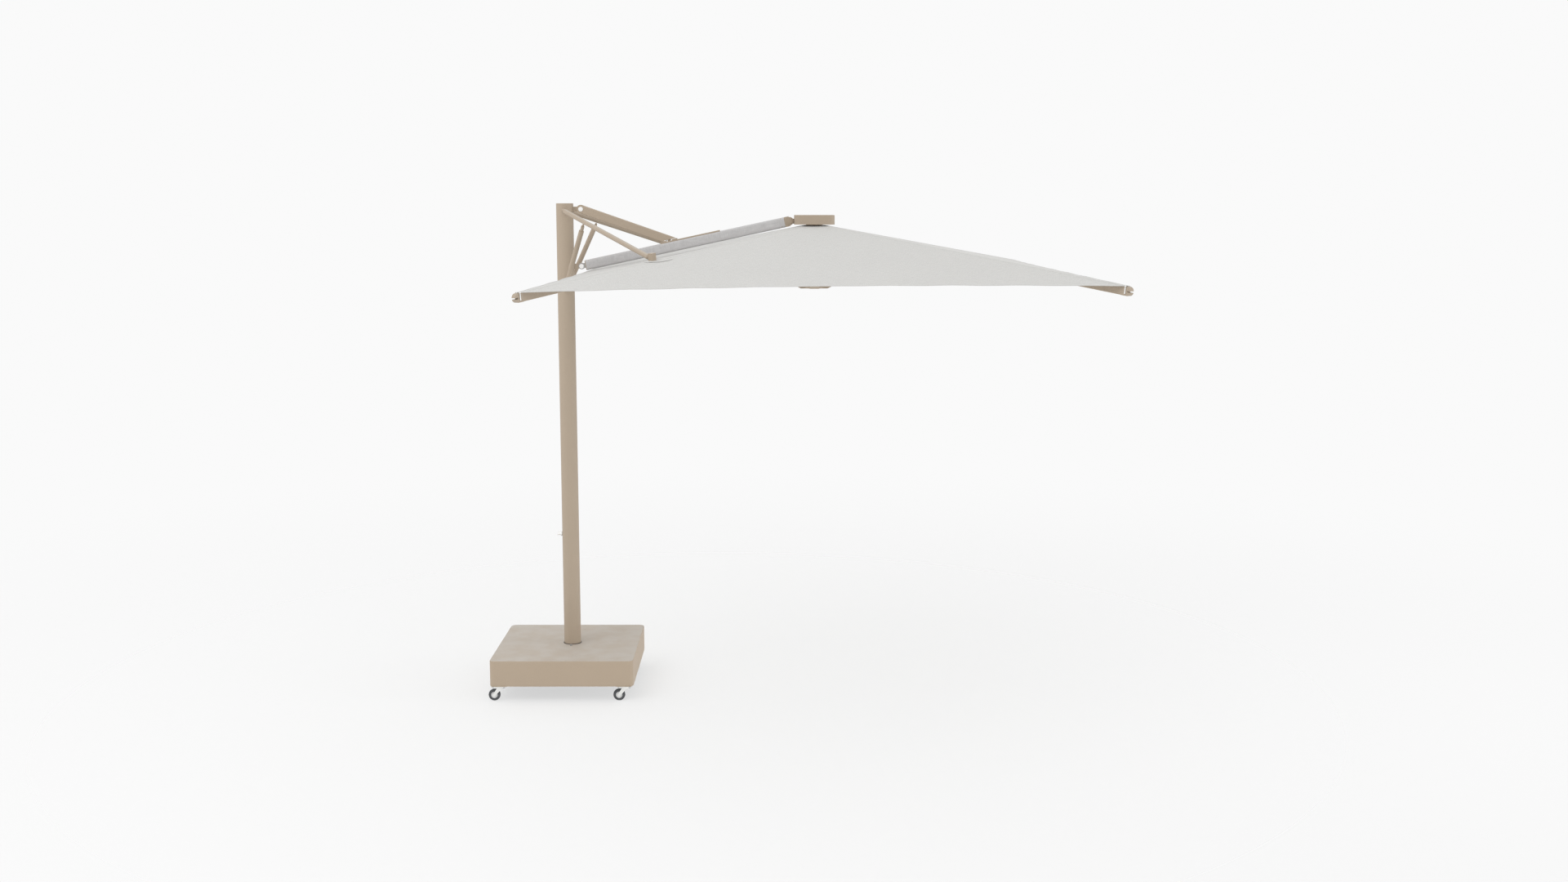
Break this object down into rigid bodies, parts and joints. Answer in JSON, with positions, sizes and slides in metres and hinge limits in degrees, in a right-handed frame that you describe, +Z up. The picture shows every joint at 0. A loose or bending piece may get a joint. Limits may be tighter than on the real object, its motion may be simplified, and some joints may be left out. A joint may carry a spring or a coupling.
{
  "type": "cantilever parasol",
  "caption": "Cantilever parasol with a rectangular canopy hung from a lifting arm on a turning mast, side rods, gas springs and a weighted square base on castors.",
  "frame": {"origin": "the mast's axis at floor level, under the castors", "axes": "+X from the mast to the canopy's middle, +Y along the canopy's long side away from the pictured side, +Z up"},
  "size_m": [3.5046, 4.0544, 2.992],
  "materials": {
    "shell": "satin powder coat",
    "steel_dark": "matte",
    "concrete": "rough cast concrete",
    "bright_steel": "satin",
    "ring_black": "matte",
    "tyre": "matte",
    "coat": "satin taupe powder coat",
    "tip_plastic": "satin taupe",
    "sleeve_cloth": "woven",
    "canopy_cloth": "heathered woven cloth"
  },
  "bodies": {
    "base": {"base_shell": "shell", "ballast_blocks": "concrete", "chassis_plate": "steel_dark", "mast_socket": "steel_dark", "socket_bolts": "bright_steel", "foot_ring": "ring_black", "castor_plates": "bright_steel", "castor_screws": "bright_steel"},
    "button": {"lock_button": "bright_steel"},
    "mast": {"mast_tube": "coat", "mast_cap": "coat", "winch_case": "steel_dark", "arm_bracket": "coat", "strut_bracket": "coat", "side_bosses": "coat", "arm_pin": "bright_steel", "strut_pin": "bright_steel"},
    "winch": {"winch_spindle": "bright_steel"},
    "arm": {"arm_tube": "coat", "arm_eye": "bright_steel", "arm_knuckle": "coat", "arm_sleeve": "sleeve_cloth", "arm_track": "coat", "hub_pin": "coat"},
    "strut": {"main_strut": "coat"},
    "slider": {"strut_slider": "coat"},
    "hub": {"hub_head": "coat", "hub_spider": "coat", "rib_pins": "bright_steel"},
    "runner": {"runner": "coat"},
    "castor_1": {"castor_fork_1": "bright_steel"},
    "wheel_1": {"castor_wheel_1": "tyre"},
    "castor_2": {"castor_fork_2": "bright_steel"},
    "wheel_2": {"castor_wheel_2": "tyre"},
    "castor_3": {"castor_fork_3": "bright_steel"},
    "wheel_3": {"castor_wheel_3": "tyre"},
    "castor_4": {"castor_fork_4": "bright_steel"},
    "wheel_4": {"castor_wheel_4": "tyre"},
    "rib_near_left": {"rib_near_left": "coat", "rib_tip_near_left": "tip_plastic", "canopy_near_left": "canopy_cloth"},
    "brace_near_left": {"brace_near_left": "coat"},
    "rib_near_right": {"rib_near_right": "coat", "rib_tip_near_right": "tip_plastic", "canopy_near_right": "canopy_cloth"},
    "brace_near_right": {"brace_near_right": "coat"},
    "rib_far_right": {"rib_far_right": "coat", "rib_tip_far_right": "tip_plastic", "canopy_far_right": "canopy_cloth"},
    "brace_far_right": {"brace_far_right": "coat"},
    "rib_far_left": {"rib_far_left": "coat", "rib_tip_far_left": "tip_plastic", "canopy_far_left": "canopy_cloth"},
    "brace_far_left": {"brace_far_left": "coat"},
    "side_rod_near": {"side_rod_near": "coat"},
    "gas_cylinder_near": {"gas_cylinder_near": "coat"},
    "gas_piston_near": {"gas_piston_near": "coat"},
    "side_rod_far": {"side_rod_far": "coat"},
    "gas_cylinder_far": {"gas_cylinder_far": "coat"},
    "gas_piston_far": {"gas_piston_far": "coat"}
  },
  "joints": [
    {"name": "castor_swivel_1", "type": "hinge", "parent": "base", "child": "castor_1", "pos_m": [-0.397, -0.402, 0.096], "axis": [0, 0, 1], "continuous": true},
    {"name": "wheel_spin_1", "type": "hinge", "parent": "castor_1", "child": "wheel_1", "pos_m": [-0.429, -0.402, 0.036], "axis": [0, 1, 0], "continuous": true},
    {"name": "castor_swivel_2", "type": "hinge", "parent": "base", "child": "castor_2", "pos_m": [0.361, -0.402, 0.096], "axis": [0, 0, 1], "continuous": true},
    {"name": "wheel_spin_2", "type": "hinge", "parent": "castor_2", "child": "wheel_2", "pos_m": [0.329, -0.402, 0.036], "axis": [0, 1, 0], "continuous": true},
    {"name": "castor_swivel_3", "type": "hinge", "parent": "base", "child": "castor_3", "pos_m": [0.361, 0.402, 0.096], "axis": [0, 0, 1], "continuous": true},
    {"name": "wheel_spin_3", "type": "hinge", "parent": "castor_3", "child": "wheel_3", "pos_m": [0.329, 0.402, 0.036], "axis": [0, 1, 0], "continuous": true},
    {"name": "castor_swivel_4", "type": "hinge", "parent": "base", "child": "castor_4", "pos_m": [-0.397, 0.402, 0.096], "axis": [0, 0, 1], "continuous": true},
    {"name": "wheel_spin_4", "type": "hinge", "parent": "castor_4", "child": "wheel_4", "pos_m": [-0.429, 0.402, 0.036], "axis": [0, 1, 0], "continuous": true},
    {"name": "mast_turn", "type": "hinge", "parent": "base", "child": "mast", "pos_m": [0, 0, 0.254], "axis": [0, 0, 1], "continuous": true},
    {"name": "lock_button_press", "type": "slide", "parent": "base", "child": "button", "axis": [0, 0, -1], "range_m": [0, 0.006], "stiffness_N_per_m": 300, "springref_m": -0.002},
    {"name": "winch_spindle_turn", "type": "hinge", "parent": "mast", "child": "winch", "pos_m": [-0.052, 0, 0.952], "axis": [-1, 0, 0], "continuous": true},
    {"name": "arm_lift", "type": "hinge", "parent": "mast", "child": "arm", "pos_m": [0.098, 0, 2.613], "axis": [0, -1, 0], "range_deg": [0, 30]},
    {"name": "strut_swing", "type": "hinge", "parent": "mast", "child": "strut", "pos_m": [0.098, 0, 2.957], "axis": [0, -1, 0], "range_deg": [0, 39.24]},
    {"name": "slider_run", "type": "slide", "parent": "arm", "child": "slider", "axis": [0.9778, 0, 0.2096], "range_m": [0, 0.19921]},
    {"name": "hub_level", "type": "hinge", "parent": "arm", "child": "hub", "pos_m": [1.365, 0, 2.88462], "axis": [0, 1, 0], "range_deg": [0, 30]},
    {"name": "runner_drop", "type": "slide", "parent": "hub", "child": "runner", "axis": [0, 0, -1], "range_m": [0, 0.63121]},
    {"name": "rib_fold_near_left", "type": "hinge", "parent": "hub", "child": "rib_near_left", "pos_m": [1.449, -0.088, 2.83242], "axis": [0.8, -0.6, 0], "range_deg": [0, 69.86], "deforming": ["canopy_near_left"]},
    {"name": "brace_swing_near_left", "type": "hinge", "parent": "rib_near_left", "child": "brace_near_left", "pos_m": [1.18376, -0.44166, 2.74152], "axis": [-0.8, 0.6, 0], "range_deg": [0, 122.93]},
    {"name": "rib_fold_near_right", "type": "hinge", "parent": "hub", "child": "rib_near_right", "pos_m": [1.581, -0.088, 2.83242], "axis": [0.8, 0.6, 0], "range_deg": [0, 70.62], "deforming": ["canopy_near_right"]},
    {"name": "brace_swing_near_right", "type": "hinge", "parent": "rib_near_right", "child": "brace_near_right", "pos_m": [1.84694, -0.44259, 2.74736], "axis": [-0.8, -0.6, 0], "range_deg": [0, 123.18]},
    {"name": "rib_fold_far_right", "type": "hinge", "parent": "hub", "child": "rib_far_right", "pos_m": [1.581, 0.088, 2.83242], "axis": [-0.8, 0.6, 0], "range_deg": [0, 70.62], "deforming": ["canopy_far_right"]},
    {"name": "brace_swing_far_right", "type": "hinge", "parent": "rib_far_right", "child": "brace_far_right", "pos_m": [1.84694, 0.44259, 2.74736], "axis": [0.8, -0.6, 0], "range_deg": [0, 123.18]},
    {"name": "rib_fold_far_left", "type": "hinge", "parent": "hub", "child": "rib_far_left", "pos_m": [1.449, 0.088, 2.83242], "axis": [-0.8, -0.6, 0], "range_deg": [0, 69.86], "deforming": ["canopy_far_left"]},
    {"name": "brace_swing_far_left", "type": "hinge", "parent": "rib_far_left", "child": "brace_far_left", "pos_m": [1.18376, 0.44166, 2.74152], "axis": [0.8, 0.6, 0], "range_deg": [0, 122.93]},
    {"name": "side_rod_swing_near", "type": "hinge", "parent": "mast", "child": "side_rod_near", "pos_m": [0, -0.066, 2.949], "axis": [0.9094, -0.4074, -0.084], "range_deg": [0, 86.03]},
    {"name": "gas_spring_swing_near", "type": "hinge", "parent": "mast", "child": "gas_cylinder_near", "pos_m": [0, -0.066, 2.47], "axis": [0.3185, -0.1739, 0.9318], "range_deg": [0, 87.44]},
    {"name": "gas_spring_close_near", "type": "slide", "parent": "gas_cylinder_near", "child": "gas_piston_near", "axis": [-0.2972, 0.5562, -0.7761], "range_m": [0, 0.14958]},
    {"name": "side_rod_swing_far", "type": "hinge", "parent": "mast", "child": "side_rod_far", "pos_m": [0, 0.066, 2.949], "axis": [-0.9094, -0.4074, 0.084], "range_deg": [0, 86.03]},
    {"name": "gas_spring_swing_far", "type": "hinge", "parent": "mast", "child": "gas_cylinder_far", "pos_m": [0, 0.066, 2.47], "axis": [-0.3185, -0.1739, -0.9318], "range_deg": [0, 87.44]},
    {"name": "gas_spring_close_far", "type": "slide", "parent": "gas_cylinder_far", "child": "gas_piston_far", "axis": [-0.2972, -0.5562, -0.7761], "range_m": [0, 0.14958]}
  ],
  "couplings": [
    {"joint": "strut_swing", "follows": "arm_lift", "ratio": 1.3079},
    {"joint": "slider_run", "follows": "arm_lift", "m_per_rad": 0.38045},
    {"joint": "hub_level", "follows": "arm_lift", "ratio": 1},
    {"joint": "runner_drop", "follows": "arm_lift", "m_per_rad": 1.2055},
    {"joint": "rib_fold_near_left", "follows": "arm_lift", "ratio": 2.3288},
    {"joint": "brace_swing_near_left", "follows": "arm_lift", "ratio": 4.0976},
    {"joint": "rib_fold_near_right", "follows": "arm_lift", "ratio": 2.354},
    {"joint": "brace_swing_near_right", "follows": "arm_lift", "ratio": 4.1059},
    {"joint": "rib_fold_far_right", "follows": "arm_lift", "ratio": 2.354},
    {"joint": "brace_swing_far_right", "follows": "arm_lift", "ratio": 4.1059},
    {"joint": "rib_fold_far_left", "follows": "arm_lift", "ratio": 2.3288},
    {"joint": "brace_swing_far_left", "follows": "arm_lift", "ratio": 4.0976},
    {"joint": "side_rod_swing_near", "follows": "arm_lift", "ratio": 2.8678},
    {"joint": "gas_spring_swing_near", "follows": "arm_lift", "ratio": 2.9147},
    {"joint": "gas_spring_close_near", "follows": "arm_lift", "m_per_rad": 0.28567},
    {"joint": "side_rod_swing_far", "follows": "arm_lift", "ratio": 2.8678},
    {"joint": "gas_spring_swing_far", "follows": "arm_lift", "ratio": 2.9147},
    {"joint": "gas_spring_close_far", "follows": "arm_lift", "m_per_rad": 0.28567}
  ]
}
